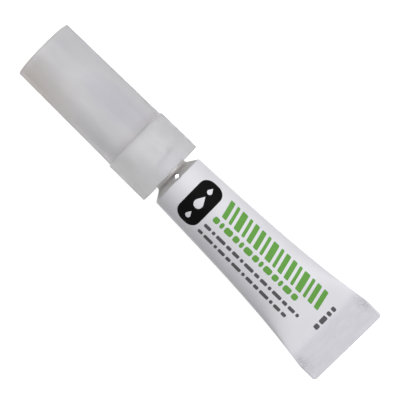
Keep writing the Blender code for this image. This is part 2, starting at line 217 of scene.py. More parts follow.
# each drop's distance, radius and length
DROPS = [
    (0.4 * MM, 1.1 * MM, 2.2 * MM),
    (3.9 * MM, 0.62 * MM, 1.25 * MM),
    (-3.2 * MM, 0.62 * MM, 1.25 * MM),
]
# each row's first and last station, and the distances of its sides
GREEN_ROW = (-5.7 * MM, -32.2 * MM, -0.45 * MM, 0.95 * MM)
NEAR_GREY_ROW = (-5.2 * MM, -34.4 * MM, 2.35 * MM, 3.15 * MM)
FAR_GREY_ROW = (-5.0 * MM, -34.0 * MM, 4.35 * MM, 5.15 * MM)

# Smoothness: points round a section, stations along a wall, steps round an edge
ROUND_SEGMENTS = 144
SMALL_SEGMENTS = 64
BODY_STATIONS = 70
CLOSING_STATIONS = 26
STRIP_STATIONS = 48
TAIL_TURN_STATIONS = 15
HOLDING_LAYER_STATIONS = 24
FRONT_TURN_STATIONS = 11
TUCKED_LAYER_STATIONS = 12
LEDGE_STATIONS = 13
DROP_STEPS = 20
FILLET_STEPS = 8
EDGE_STEPS = 6
CORNER_STEPS = 4
FINE_EDGE_STEPS = 3
NECK_SPACING = 0.5 * MM
SLOPE_SPACING = 0.1 * MM
CAP_SPACING = 2.0 * MM
THREAD_SPACING = 0.13 * MM
SMOOTH_ANGLE = math.radians(35)
ROUND_SECTION = 2.0
FLAT_SECTION = 8.0
GIRTH_POINTS = 360
GIRTH_HALVINGS = 40
SPREAD_SAMPLES = 40
SAME_PLACE = 1e-7
PLACE_DIGITS = 8

# Camera and studio
CAMERA_HEIGHT = 587.6 * MM
CAMERA_PLACE = (-0.749 * MM, -0.433 * MM)
CAMERA_TURN = math.radians(-135.56)
CAMERA_LENS = 239.4
SENSOR_WIDTH = 36.0
KEY_PLACE = (-0.175, -0.30, 0.485)
KEY_SIZE = 0.62
KEY_POWER = 2.68
SPARKLE_PLACE = (0.165, -0.13, 0.42)
SPARKLE_SIZE = 0.06
SPARKLE_POWER = 0.12
WORLD_LIGHT = 0.46
WORLD_SEEN = 0.8
FLOOR_HALF_SIZE = 3.0
FLOOR_GREY = 0.36
FLOOR_GLOW = 0.9

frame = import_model()

# Places read from the frame
SHELL_LOW, SHELL_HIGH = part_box("tube_shell")
NOZZLE_LOW, NOZZLE_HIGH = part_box("nozzle")
CAP_LOW, CAP_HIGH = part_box("cap")
PLUG_LOW, PLUG_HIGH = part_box("cap_seal_plug")
PIN_LOW, PIN_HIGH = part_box("clearing_pin")

AXIS_HEIGHT = (CAP_LOW.z + CAP_HIGH.z) / 2
TUBE_RADIUS = AXIS_HEIGHT - SHELL_LOW.z
FLAT_HALF_WIDTH = SHELL_HIGH.y
STRIP_HALF_THICKNESS = TUBE_WALL
FOLD_PITCH = 2 * STRIP_HALF_THICKNESS + FOLD_LAYER_GAP
TAIL_END = SHELL_LOW.x
FOLD_FRONT = TAIL_END + FOLD_LENGTH
FLAT_START = FOLD_FRONT + FLAT_LENGTH
SHOULDER = FLAT_START + BODY_LENGTH
SHOULDER_EDGE_START = SHOULDER - SHOULDER_EDGE_RADIUS * math.tan(SHOULDER_SLOPE / 2)
LAND_PLACE = Vector((LAND_STATION, LAND_ACROSS, AXIS_HEIGHT + LAND_RADIUS))
NECK_TOP = SHELL_HIGH.x
NECK_ROOT = SHOULDER + (
    NECK_FILLET - (NECK_RADIUS + NECK_FILLET - TUBE_RADIUS) * math.cos(SHOULDER_SLOPE)
) / math.sin(SHOULDER_SLOPE)
SKIRT_RADIUS = NOZZLE_HIGH.y
SKIRT_END = NOZZLE_LOW.x
SPOUT_TIP = NOZZLE_HIGH.x
DECK_TOP = SPOUT_TIP - SPOUT_HEIGHT
DECK_UNDERSIDE = DECK_TOP - DECK_THICKNESS
COLLAR_RADIUS = CAP_HIGH.y
COLLAR_BORE_RADIUS = COLLAR_RADIUS - COLLAR_WALL
CAP_RADIUS = COLLAR_RADIUS - COLLAR_LEDGE
CAP_TIP_RADIUS = CAP_RADIUS - CAP_TAPER
CAP_MOUTH = CAP_LOW.x
CAP_STEP = CAP_MOUTH + COLLAR_LENGTH
CAP_TIP = CAP_HIGH.x
CAP_INNER_END = CAP_TIP - CAP_END_WALL


def smooth(value):
    """0 to 1 with soft ends, for a value or an array."""
    value = np.clip(value, 0.0, 1.0)
    return value * value * (3 - 2 * value)


def bump(value, centre, half_width):
    """1 at the centre, 0 from half_width on, soft in between."""
    return smooth(1.0 - np.abs(value - centre) / half_width)


# Materials

BLACK = (0.0, 0.0, 0.0)
WHITE = (1.0, 1.0, 1.0)


class Graph:
    """The nodes of a material or the world. A method that adds nodes returns the output to go on from."""

    def __init__(self, owner):
        owner.use_nodes = True
        self.nodes = owner.node_tree.nodes
        self.links = owner.node_tree.links

    def feed(self, node, values):
        """Gives a node's inputs, by name or number, plain values or other nodes' outputs."""
        for label, value in values.items():
            if isinstance(value, bpy.types.NodeSocket):
                self.links.new(value, node.inputs[label])
            else:
                node.inputs[label].default_value = value

    def add(self, kind, output, values, **settings):
        """Adds a node with these inputs and settings, and returns the output of that name or number."""
        node = self.nodes.new(kind)
        for label, setting in settings.items():
            setattr(node, label, setting)
        self.feed(node, values)
        return node.outputs[output]

    def place(self, scale=(1.0, 1.0, 1.0), location=(0.0, 0.0, 0.0)):
        """Object coordinates: a piece's object sits at the origin, so they are the frame's, in metres."""
        coordinates = self.add("ShaderNodeTexCoord", "Object", {})
        values = {"Vector": coordinates, "Scale": scale, "Location": location}
        return self.add("ShaderNodeMapping", "Vector", values)

    def noise(self, scale, detail, stretch=(1.0, 1.0, 1.0)):
        values = {"Scale": scale, "Detail": detail, "Vector": self.place(stretch)}
        return self.add("ShaderNodeTexNoise", "Fac", values)

    def blob(self, centre, half_size):
        """1 at a place of the frame, falling off to 0 at half_size from it along each axis."""
        scale = [1 / half for half in half_size]
        location = [-place / half for place, half in zip(centre, half_size)]
        values = {"Vector": self.place(scale, location)}
        return self.add("ShaderNodeTexGradient", "Fac", values, gradient_type="SPHERICAL")

    def share_along(self, axis, start, end):
        """0 up to one place on an axis of the frame, rising to 1 at another."""
        place = self.add("ShaderNodeSeparateXYZ", axis, {"Vector": self.place()})
        values = {"Value": place, "From Min": start, "From Max": end}
        return self.add("ShaderNodeMapRange", "Result", values)

    def between(self, factor, low, high):
        return self.add("ShaderNodeMapRange", "Result", {"Value": factor, "To Min": low, "To Max": high})

    def ramp(self, factor, *stops):
        """Colours at positions along a factor."""
        node = self.nodes.new("ShaderNodeValToRGB")
        self.feed(node, {"Fac": factor})
        elements = node.color_ramp.elements
        while len(elements) < len(stops):
            elements.new(0.5)
        for element, (position, colour) in zip(elements, stops):
            element.position = position
            element.color = (*colour, 1.0)
        return node.outputs["Color"]

    def product(self, first, second, limited=False):
        """Two numbers multiplied."""
        return self.add("ShaderNodeMath", 0, {0: first, 1: second}, operation="MULTIPLY", use_clamp=limited)

    def filtered(self, first, second):
        """Two colours multiplied."""
        values = {"Fac": 1.0, "Color1": first, "Color2": second}
        return self.add("ShaderNodeMixRGB", "Color", values, blend_type="MULTIPLY")

    def tinted(self, colour, tint, factor, strength=1.0):
        """A colour turned towards a plain tint, by a factor times a strength."""
        share = self.product(factor, strength, limited=True)
        values = {"Fac": share, "Color1": colour, "Color2": (*tint, 1.0)}
        return self.add("ShaderNodeMixRGB", "Color", values)

    def relief(self, height, strength, distance, **below):
        """A bump, on another bump where one is given as Normal."""
        values = {"Height": height, "Strength": strength, "Distance": distance}
        return self.add("ShaderNodeBump", "Normal", {**values, **below})

    def seen(self):
        """1 for what the camera sees directly, in a mirror or through glass, and 0 for light on things."""
        rays = self.nodes.new("ShaderNodeLightPath").outputs
        factor = rays["Is Camera Ray"]
        for label in ("Is Glossy Ray", "Is Transmission Ray"):
            factor = self.add("ShaderNodeMath", 0, {0: factor, 1: rays[label]}, operation="MAXIMUM")
        return factor


def new_material(name, **values):
    """A material, its graph and its shader. The values go on the shader's inputs, with _ for a space."""
    material = bpy.data.materials.new(name)
    graph = Graph(material)
    shader = graph.nodes["Principled BSDF"]
    graph.feed(shader, {label.replace("_", " "): value for label, value in values.items()})
    return material, graph, shader


def enamel_material():
    """Glossy white enamel: faint patches, a fine orange peel, a darker mottled strip and painted shade at
    its dents.
    """
    gloss = {"Coat_Weight": 0.06, "Coat_Roughness": 0.15, "Specular_IOR_Level": 0.2}
    material, graph, shader = new_material("white_enamel", IOR=1.5, **gloss)
    patches = graph.noise(scale=160.0, detail=4.0)
    colour = graph.ramp(patches, (0.3, (0.675, 0.672, 0.712)), (0.7, (0.715, 0.712, 0.745)))

    # the flat strip is darker and mottled all over
    strip_mottle = graph.noise(scale=900.0, detail=3.0, stretch=(1.0, 0.3, 1.0))
    strip_mottle = graph.ramp(strip_mottle, (0.3, (0.6, 0.6, 0.6)), (0.7, WHITE))
    strip = graph.blob(((TAIL_END + FLAT_START) / 2, 0.0, AXIS_HEIGHT), (STRIP_DARKENING_REACH, 1.0, 1.0))
    strip = graph.ramp(strip, (0.0, BLACK), (STRIP_DARKENING_SOFTNESS, WHITE))
    colour = graph.tinted(colour, tint=(0.60, 0.59, 0.64), factor=graph.product(strip, strip_mottle))

    # painted shade where its sides dent at the fold's start, broken up by rub marks
    nicks = graph.ramp(graph.noise(scale=2200.0, detail=3.0), (0.42, (0.2, 0.2, 0.2)), (0.6, WHITE))
    for side in (-1, 1):
        centre = (FOLD_FRONT, side * (FLAT_HALF_WIDTH - SIDE_DENT_SHADE_INSET), AXIS_HEIGHT)
        dent_shade_and_rubs = graph.product(graph.blob(centre, SIDE_DENT_SHADE_SIZE), nicks)
        colour = graph.tinted(colour, tint=(0.44, 0.44, 0.47), factor=dent_shade_and_rubs, strength=1.1)

    peel = graph.relief(graph.noise(scale=1800.0, detail=2.0), strength=0.10, distance=0.04 * MM)
    waves = graph.noise(scale=220.0, detail=1.0)
    relief = graph.relief(waves, strength=0.12, distance=0.2 * MM, Normal=peel)
    dullness = graph.between(patches, low=0.30, high=0.42)
    graph.feed(shader, {"Base Color": colour, "Roughness": dullness, "Normal": relief})
    return material


def bare_metal_material():
    """Spun aluminium: rings left by the tool, a dull bloom, a painted shadow on the neck and a small flat
    that shines.
    """
    material, graph, shader = new_material("bare_aluminium", Metallic=1.0)
    bloom = graph.noise(scale=420.0, detail=3.0)
    colour = graph.ramp(bloom, (0.3, (0.66, 0.655, 0.64)), (0.7, (0.77, 0.75, 0.745)))
    # painted shadow of the cap's mouth: the metal darkens towards the neck
    neck = graph.share_along("X", NECK_ROOT - NECK_FILLET, NECK_ROOT)
    colour = graph.tinted(colour, tint=(0.45, 0.425, 0.42), factor=neck, strength=0.9)
    rings = graph.noise(scale=5200.0, detail=2.0, stretch=(1.0, 0.02, 0.02))
    shiny, dull = 0.12, graph.between(rings, low=0.46, high=0.56)
    land = graph.blob(LAND_PLACE, [LAND_SHINE_REACH] * 3)
    roughness = graph.add("ShaderNodeMix", "Result", {"Factor": land, "A": dull, "B": shiny})
    grooves = graph.relief(rings, strength=0.08, distance=0.03 * MM)
    graph.feed(shader, {"Base Color": colour, "Roughness": roughness, "Normal": grooves})
    return material


def cloudy_material(name, light, dark, transmission, roughness):
    """Natural polypropylene: cloudy, with flow streaks along the moulding and a fine satin grain.

    Returns its graph, its shader and the streaks' colour too, for a material that goes on from it.
    """
    material, graph, shader = new_material(name, IOR=1.49, Transmission_Weight=transmission)
    streaks = graph.noise(scale=520.0, detail=3.0, stretch=(0.06, 1.0, 1.0))
    colour = graph.ramp(streaks, (0.35, dark), (0.62, light))
    satin = graph.between(streaks, roughness - 0.05, roughness + 0.07)
    grain = graph.relief(graph.noise(scale=2600.0, detail=2.0), strength=0.10, distance=0.04 * MM)
    graph.feed(shader, {"Base Color": colour, "Roughness": satin, "Normal": grain})
    return material, graph, shader, colour


def cap_material():
    """The cap's cloudy plastic, painted darker on its lit side and lighter on its shaded side, with painted
    shade where what is inside shows as dim patches.
    """
    clearness = 0.8
    looks = {"light": WHITE, "dark": (0.94, 0.94, 0.94), "transmission": clearness, "roughness": 0.5}
    material, graph, shader, streaks = cloudy_material("cloudy_polypropylene", **looks)

    # painted light: darker on the side the key lamp lights, lighter on the side away from it
    side = graph.share_along("Y", CAP_PAINTED_DARKER_SIDE, CAP_PAINTED_LIGHTER_SIDE)
    body = graph.ramp(side, (0.0, (0.885, 0.88, 0.89)), (1.0, (1.0, 0.995, 1.0)))
    length = CAP_TIP - CAP_MOUTH
    ledge = (CAP_STEP - CAP_MOUTH) / length
    lengthwise = graph.ramp(
        graph.share_along("X", CAP_MOUTH, CAP_TIP),
        (ledge - LEDGE_SHADE_SOFTNESS, WHITE),
        (ledge + LEDGE_SHADE_SOFTNESS, (0.92, 0.905, 0.905)),
        (ledge + LEDGE_SHADE_LENGTH / length, (0.965, 0.965, 0.97)),
    )
    colour = graph.filtered(graph.filtered(body, lengthwise), streaks)
    milky = graph.noise(scale=190.0, detail=2.0, stretch=(0.45, 1.0, 1.0))
    milky = graph.ramp(milky, (0.40, BLACK), (0.66, WHITE))
    colour = graph.tinted(colour, tint=(0.74, 0.74, 0.79), factor=milky, strength=0.4)

    # painted shade where the spout and its webs show through, on the lower side and at the mouth, and a
    # warm tint at the tip, each with its station, its distance across, its half size in millimetres, its
    # tint and its strength
    spout = (DECK_TOP + SPOUT_TIP) / 2
    patches = [
        (spout, SPOUT_SHADE_ACROSS, (13.0, 4.2, 14.0), (0.62, 0.615, 0.69), 0.9),
        (spout, LOW_SIDE_SHADE_ACROSS, (17.0, 3.4, 14.0), (0.74, 0.74, 0.76), 0.9),
        (CAP_MOUTH, MOUTH_SHADE_ACROSS, (8.0, 5.5, 16.0), (0.76, 0.76, 0.82), 0.8),
        (CAP_TIP, CAP_TIP_RADIUS, (22.0, 9.0, 16.0), (0.86, 0.79, 0.73), 0.7),
    ]
    for station, across, half_size, tint, strength in patches:
        patch = graph.blob((station, across, AXIS_HEIGHT), [half * MM for half in half_size])
        colour = graph.tinted(colour, tint, patch, strength)

    # less light comes through where the plug's socket is
    centre = (CAP_INNER_END - PLUG_SOCKET_DEPTH / 2, PLUG_SOCKET_RADIUS / 2, AXIS_HEIGHT)
    socket = graph.blob(centre, half_size=(7.0 * MM, 6.0 * MM, 16.0 * MM))
    transmission = graph.between(socket, clearness, clearness / 2)
    graph.feed(shader, {"Base Color": colour, "Transmission Weight": transmission})
    return material


def moulded_material(name, light, dark, roughness):
    """Opaque moulded plastic with a soft mottle and a satin grain."""
    material, graph, shader = new_material(name, IOR=1.5)
    mottle = graph.noise(scale=300.0, detail=3.0)
    colour = graph.ramp(mottle, (0.3, dark), (0.7, light))
    satin = graph.between(mottle, roughness - 0.05, roughness + 0.08)
    grain = graph.relief(graph.noise(scale=2400.0, detail=2.0), strength=0.12, distance=0.04 * MM)
    graph.feed(shader, {"Base Color": colour, "Roughness": satin, "Normal": grain})
    return material


def ink_material(name, colour):
    """A printed ink, a little thinner in places, with a satin face."""
    material, graph, shader = new_material(name, IOR=1.5, Specular_IOR_Level=0.04)
    cover = graph.noise(scale=1500.0, detail=4.0)
    lightening = 1.06
    thin = tuple(lightening * channel for channel in colour)
    shade = graph.ramp(cover, (0.3, thin), (0.55, colour))
    graph.feed(shader, {"Base Color": shade, "Roughness": graph.between(cover, low=0.45, high=0.6)})
    return material


def steel_material():
    """Drawn steel wire: bright, with fine lines along it."""
    material, graph, shader = new_material("steel_wire", Metallic=1.0)
    lines = graph.noise(scale=6000.0, detail=2.0, stretch=(0.03, 1.0, 1.0))
    colour = graph.ramp(lines, (0.3, (0.5, 0.5, 0.51)), (0.7, (0.62, 0.62, 0.63)))
    graph.feed(shader, {"Base Color": colour, "Roughness": graph.between(lines, low=0.18, high=0.34)})
    return material


# Mesh building


def section(half_width, half_height, squareness, count):
    """(across, through) round a section that goes from an ellipse to a flat strip as it gets squarer."""
    angles = np.linspace(0.0, 2.0 * math.pi, count, endpoint=False)
    across = half_width * np.sin(angles)
    through = half_height * np.sign(np.cos(angles)) * np.abs(np.cos(angles)) ** (2.0 / squareness)
    return across, through


def ring(size, squareness, station, lift=0.0, direction=(0.0, -1.0), count=ROUND_SEGMENTS):
    """A closed section, square to the direction (lift, station) that the sheet runs in.

    The size is its half width and half height. The lift is towards the print.
    """
    across, through = section(*size, squareness, count)
    stations = station + direction[0] * through
    heights = AXIS_HEIGHT + lift - direction[1] * through
    return np.column_stack([stations, across, heights])


def turned(profile, count=ROUND_SEGMENTS):
    """Round rings about the axis through (radius, station) points."""
    return [ring((radius, radius), ROUND_SECTION, station, count=count) for radius, station in profile]


def skin(name, rings, closed=False):
    """One surface through rings of as many points each, capped at both ends or closed on itself."""
    count = len(rings[0])
    last = len(rings) if closed else len(rings) - 1
    faces = []
    for here in range(last):
        there = (here + 1) % len(rings)
        for i in range(count):
            j = (i + 1) % count
            faces.append((here * count + i, here * count + j, there * count + j, there * count + i))
    if not closed:
        faces.append(tuple(range(count)))
        faces.append(tuple(range((len(rings) - 1) * count, len(rings) * count)))
    mesh = bpy.data.meshes.new(name)
    mesh.from_pydata(np.concatenate(rings).tolist(), [], faces)
    bm = bmesh.new()
    bm.from_mesh(mesh)
    bmesh.ops.recalc_face_normals(bm, faces=bm.faces)
    bm.to_mesh(mesh)
    bm.free()
    return mesh


def show(thing):
    """Puts an object in the scene, and returns it."""
    bpy.context.scene.collection.objects.link(thing)
    return thing


def evaluated_mesh(thing):
    """A new mesh of what an object shows, with its modifiers. The object is deleted."""
    mesh = bpy.data.meshes.new_from_object(thing.evaluated_get(bpy.context.evaluated_depsgraph_get()))
    bpy.data.objects.remove(thing)
    return mesh


def add_piece(name, mesh, body, materials, replaced=()):
    """Shows a mesh that rides on a body of the frame and stands for the named nodes of the CAD model."""
    for material in materials:
        mesh.materials.append(material)
    mesh.shade_smooth()
    mesh.set_sharp_from_angle(angle=SMOOTH_ANGLE)
    piece = show(bpy.data.objects.new(name, mesh))
    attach(piece, body)
    if replaced:
        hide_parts(*replaced)
    return piece


def arc(centre, radius, start, end, steps):
    """Points on an arc, by angles in degrees from the first coordinate's side towards the second's."""
    angles = np.radians(np.linspace(start, end, steps + 1))
    return [(centre[0] + radius * math.cos(a), centre[1] + radius * math.sin(a)) for a in angles]


def divided(start, end, spacing):
    """(radius, station) points on a straight wall without its last, no further apart than the spacing."""
    length = math.hypot(end[0] - start[0], end[1] - start[1])
    steps = max(1, math.ceil(length / spacing))
    return [
        (start[0] + (end[0] - start[0]) * i / steps, start[1] + (end[1] - start[1]) * i / steps)
        for i in range(steps)
    ]


def thread_height(station, angles, first, last, phase):
    """How far a one-start ridge that fades at both ends stands out, for each angle about the axis."""
    turns_round = angles / (2 * math.pi) + phase
    offset = (station - first) / THREAD_LEAD - turns_round
    nearest = np.round(offset)
    across = np.abs(offset - nearest) * THREAD_LEAD
    flank = (THREAD_ROOT_WIDTH - THREAD_CREST_WIDTH) / 2
    profile = np.clip((THREAD_ROOT_WIDTH / 2 - across) / flank, 0.0, 1.0)
    along = nearest + turns_round
    turns = (last - first) / THREAD_LEAD
    fade = smooth(along / THREAD_FADE) * smooth((turns - along) / THREAD_FADE)
    return THREAD_HEIGHT * profile * fade


def threaded_rings(radius, start, end, thread, outward):
    """Rings down a round wall with a helical ridge. The thread is (first station, last station, phase)."""
    angles = np.linspace(0.0, 2.0 * math.pi, ROUND_SEGMENTS, endpoint=False)
    # a ring starts at the printed face and turns towards +Y, which is the negative way about +X
    about_axis = (math.pi / 2 - angles) % (2 * math.pi)
    count = math.ceil(abs(end - start) / THREAD_SPACING)
    rings = []
    for station in np.linspace(start, end, count + 1):
        radii = radius + outward * thread_height(station, about_axis, *thread)
        across, through = radii * np.sin(angles), radii * np.cos(angles)
        rings.append(np.column_stack([np.full(ROUND_SEGMENTS, station), across, AXIS_HEIGHT + through]))
    return rings


# Tube


def girth(half_width, half_height):
    across, through = section(half_width, half_height, ROUND_SECTION, GIRTH_POINTS)
    return np.hypot(np.roll(across, -1) - across, np.roll(through, -1) - through).sum()


def half_height_of_girth(half_width):
    """The half height that leaves the sheet as long round the section as it is round the tube."""
    low, high = 0.0, half_width
    for _ in range(GIRTH_HALVINGS):
        middle = (low + high) / 2
        if girth(half_width, middle) < girth(TUBE_RADIUS, TUBE_RADIUS):
            low = middle
        else:
            high = middle
    return (low + high) / 2


SPREAD_WIDTHS = np.linspace(TUBE_RADIUS, FLAT_HALF_WIDTH, SPREAD_SAMPLES)
SPREAD_HEIGHTS = np.array([half_height_of_girth(half_width) for half_width in SPREAD_WIDTHS])


def body_section(station):
    """(half width, half height, squareness) of the tube's outside, from the shoulder to the flat strip."""
    share = (SHOULDER - station) / (SHOULDER - FOLD_FRONT)
    spread = EVEN_SPREAD * share + (1 - EVEN_SPREAD) * share**LATE_SPREAD_POWER
    half_width = TUBE_RADIUS + (FLAT_HALF_WIDTH - TUBE_RADIUS) * spread
    closing = min(max((station - FLAT_START) / CLOSING_LENGTH, 0.0), 1.0)
    eased = closing**2 / (closing + CLOSING_EASE)
    openness = math.sin(eased * (1.0 + CLOSING_EASE) * math.pi / 2)
    full_height = float(np.interp(half_width, SPREAD_WIDTHS, SPREAD_HEIGHTS))
    half_height = STRIP_HALF_THICKNESS + (full_height - STRIP_HALF_THICKNESS) * openness
    return half_width, half_height, FLAT_SECTION + (ROUND_SECTION - FLAT_SECTION) * openness


def skewed(points):
    """The tail was folded a little askew: one side leans towards the shoulder, more and more to its end."""
    share = smooth((FLAT_START - points[:, 0]) / (FLAT_START - TAIL_END))
    lean = FOLD_SKEW * (points[:, 1] + FLAT_HALF_WIDTH) * share
    return np.column_stack([points[:, 0] + lean, points[:, 1], points[:, 2]])


def pressed(points):
    """The jaws' marks: a rise over the fold's edge, one near the tail, a bead and a dent at each side."""
    stations, across = points[:, 0], np.abs(points[:, 1])
    rise = EDGE_IMPRINT_RISE * smooth((FOLD_FRONT - stations) / EDGE_IMPRINT_WIDTH)
    rise += TAIL_RISE * smooth((FOLD_FRONT - TAIL_RISE_START - stations) / TAIL_RISE_WIDTH)
    dent = SIDE_DENT_DEPTH * smooth((across / FLAT_HALF_WIDTH - 1 + SIDE_DENT_SHARE) / SIDE_DENT_SHARE)
    dent *= bump(stations, FOLD_FRONT + SIDE_DENT_HALF_LENGTH, SIDE_DENT_HALF_LENGTH)
    bead = STRIP_BEAD_RISE * bump(across, FLAT_HALF_WIDTH - STRIP_BEAD_INSET, STRIP_BEAD_HALF_WIDTH)
    bead *= smooth((FLAT_START - stations) / STRIP_BEAD_FADE)
    return np.column_stack([stations, points[:, 1], points[:, 2] + rise + bead - dent])


def body_stations(inset_from_flat):
    closing_start = FLAT_START + CLOSING_LENGTH
    upper = np.linspace(SHOULDER, closing_start, BODY_STATIONS, endpoint=False)
    # stations crowd towards the flat strip, where the walls turn
    share = np.linspace(0.0, 1.0, CLOSING_STATIONS + 1)
    lower = closing_start + (FLAT_START + inset_from_flat - closing_start) * np.sin(share * math.pi / 2)
    return [*upper, *lower]


def body_rings(inset, inset_from_flat=0.0):
    """Sections of the body, from just below the shoulder to the flat strip, inset from its outside."""
    rings = []
    for station in body_stations(inset_from_flat)[1:]:
        half_width, half_height, squareness = body_section(station)
        rings.append(ring((half_width - inset, half_height - inset), squareness, station))
    return rings


def fold_half_width(station):
    """The half width of the strip and of its folded layers, with the corners at the tail clipped."""
    if station >= TAIL_END + FOLD_CORNER_CLIP:
        return body_section(max(station, FOLD_FRONT))[0]
    return FLAT_HALF_WIDTH - max(0.0, FOLD_CORNER_CLIP - (station - TAIL_END))


def half_turn(lift, station, radius, way, count):
    """(lift, station, direction) round a bend of the sheet; the way is -1 at the tail, 1 at the front."""
    points = []
    for angle in np.linspace(0.0, math.pi, count):
        out, up = way * math.sin(angle), way * math.cos(angle)
        points.append((lift - radius * up, station + radius * out, (out, up)))
    return points


def fold_rings():
    """The pressed strip, rolled twice over itself on the unprinted side.

    From the print down, the layers are the strip itself, the tucked-in end, and the layer that holds it.
    """
    tail_turn = TAIL_END + FOLD_PITCH + STRIP_HALF_THICKNESS
    front_turn = FOLD_FRONT - FOLD_PITCH / 2 - STRIP_HALF_THICKNESS
    strip = np.linspace(FLAT_START, tail_turn, STRIP_STATIONS)[1:-1]
    holding_layer = np.linspace(tail_turn, front_turn, HOLDING_LAYER_STATIONS)[1:-1]
    tucked_layer = np.linspace(front_turn, tail_turn + FOLD_LAYER_GAP, TUCKED_LAYER_STATIONS)[1:]
    back, forth = (0.0, -1.0), (0.0, 1.0)
    path = [
        *[(0.0, station, back) for station in strip],
        *half_turn(-FOLD_PITCH, tail_turn, FOLD_PITCH, -1, TAIL_TURN_STATIONS),
        *[(-2 * FOLD_PITCH, station, forth) for station in holding_layer],
        *half_turn(-1.5 * FOLD_PITCH, front_turn, 0.5 * FOLD_PITCH, 1, FRONT_TURN_STATIONS),
        *[(-FOLD_PITCH, station, back) for station in tucked_layer],
    ]
    rings = []
    for lift, station, direction in path:
        size = (fold_half_width(station), STRIP_HALF_THICKNESS)
        rings.append(pressed(ring(size, FLAT_SECTION, station, lift, direction)))
    return rings


def shoulder_profile():
    """(radius, station) down the outside, from the neck's top to the shoulder's edge."""
    turn = math.degrees(SHOULDER_SLOPE)
    fillet = arc((NECK_RADIUS + NECK_FILLET, NECK_ROOT), NECK_FILLET, 180, 180 + turn, FILLET_STEPS)
    edge_centre = (TUBE_RADIUS - SHOULDER_EDGE_RADIUS, SHOULDER_EDGE_START)
    edge = arc(edge_centre, SHOULDER_EDGE_RADIUS, turn, 0, EDGE_STEPS)
    neck = divided((NECK_RADIUS, NECK_TOP), fillet[0], NECK_SPACING)
    slope = divided(fillet[-1], edge[0], SLOPE_SPACING)[1:]
    return [*neck, *fillet, *slope, *edge]


def with_land(points):
    """The small flat on the slope of the shoulder, about level with the axis, which catches light."""
    along, across = points[:, 0] - LAND_STATION, points[:, 1] - LAND_ACROSS
    height = points[:, 2] - AXIS_HEIGHT
    distance = np.hypot(along / LAND_HALF_LENGTH, across / LAND_HALF_WIDTH)
    share = np.where(height > 0.0, smooth(2.0 - 2.0 * distance), 0.0)
    land = LAND_RADIUS - LAND_SLOPE * along + LAND_TILT * across
    level = height + (land - height) * share
    return np.column_stack([points[:, 0], points[:, 1], AXIS_HEIGHT + level])


def soften_land(mesh):
    """The pressed flat has no sharp edges."""
    for edge in mesh.edges:
        ends = [mesh.vertices[index].co for index in edge.vertices]
        if max((end - LAND_PLACE).length for end in ends) < LAND_SHINE_REACH:
            edge.use_edge_sharp = False


def make_tube_shell(enamel, metal):
    inner_root = SHOULDER + (TUBE_RADIUS - NECK_BORE_RADIUS) / math.tan(SHOULDER_SLOPE) - SHOULDER_WALL
    membrane_underside = NECK_TOP - MEMBRANE_THICKNESS
    outer = [with_land(points) for points in turned(shoulder_profile())]
    outer.extend(body_rings(0.0))
    outer.extend(fold_rings())
    inner = turned([
        (MEMBRANE_HOLE_RADIUS, NECK_TOP),
        (MEMBRANE_HOLE_RADIUS, membrane_underside),
        (NECK_BORE_RADIUS, membrane_underside),
        (NECK_BORE_RADIUS, inner_root),
        (TUBE_RADIUS - TUBE_WALL, SHOULDER - SHOULDER_WALL),
    ])
    inner.extend(body_rings(TUBE_WALL, CAVITY_END_ABOVE_FLAT))
    mesh = skin("tube_body", [skewed(points) for points in [*reversed(outer), *inner]])
    piece = add_piece("tube_body", mesh, "tube", [enamel, metal], ["tube_shell"])
    for face in mesh.polygons:
        face.material_index = 1 if face.center.x > SHOULDER_EDGE_START + ENAMEL_OVERLAP else 0
    soften_land(mesh)
    return piece


# Print


class Sheet:
    """The printed face, unrolled: a point is (station, distance round the tube from the top line)."""

    def __init__(self, shell):
        self.tree = BVHTree.FromObject(shell, bpy.context.evaluated_depsgraph_get())

    def place(self, station, distance, lift):
        half_width, half_height, _ = body_section(station)
        bend = half_width**2 / half_height
        start = Vector((station, bend * math.sin(distance / bend), 4 * AXIS_HEIGHT))
        hit, normal, _, _ = self.tree.ray_cast(start, Vector((0.0, 0.0, -1.0)))
        return hit + normal * lift


def flat_mesh(outlines):
    """A flat mesh in closed outlines of (station, distance) points; an outline inside another is a hole."""
    curve = bpy.data.curves.new("outline", "CURVE")
    curve.dimensions = "2D"
    curve.fill_mode = "BOTH"
    for points in outlines:
        spline = curve.splines.new("POLY")
        spline.points.add(len(points) - 1)
        for target, (station, distance) in zip(spline.points, points):
            target.co = (station, distance, 0.0, 1.0)
        spline.use_cyclic_u = True
    return evaluated_mesh(show(bpy.data.objects.new("outline", curve)))


def cut_in_strips(bm, normal):
    """Cuts a flat mesh across at even steps, so that it can follow a curved face."""
    places = [vertex.co.dot(normal) for vertex in bm.verts]
    for step in np.arange(math.ceil(min(places) / INK_CUT), max(places) / INK_CUT):
        cut = {"plane_co": normal * (step * INK_CUT), "plane_no": normal, "dist": SAME_PLACE}
        bmesh.ops.bisect_plane(bm, geom=[*bm.verts, *bm.edges, *bm.faces], **cut)


def flat_place(vertex):
    """What a point of the flat mesh and the point that is raised from it have in common."""
    return round(vertex.co.x, PLACE_DIGITS), round(vertex.co.y, PLACE_DIGITS)


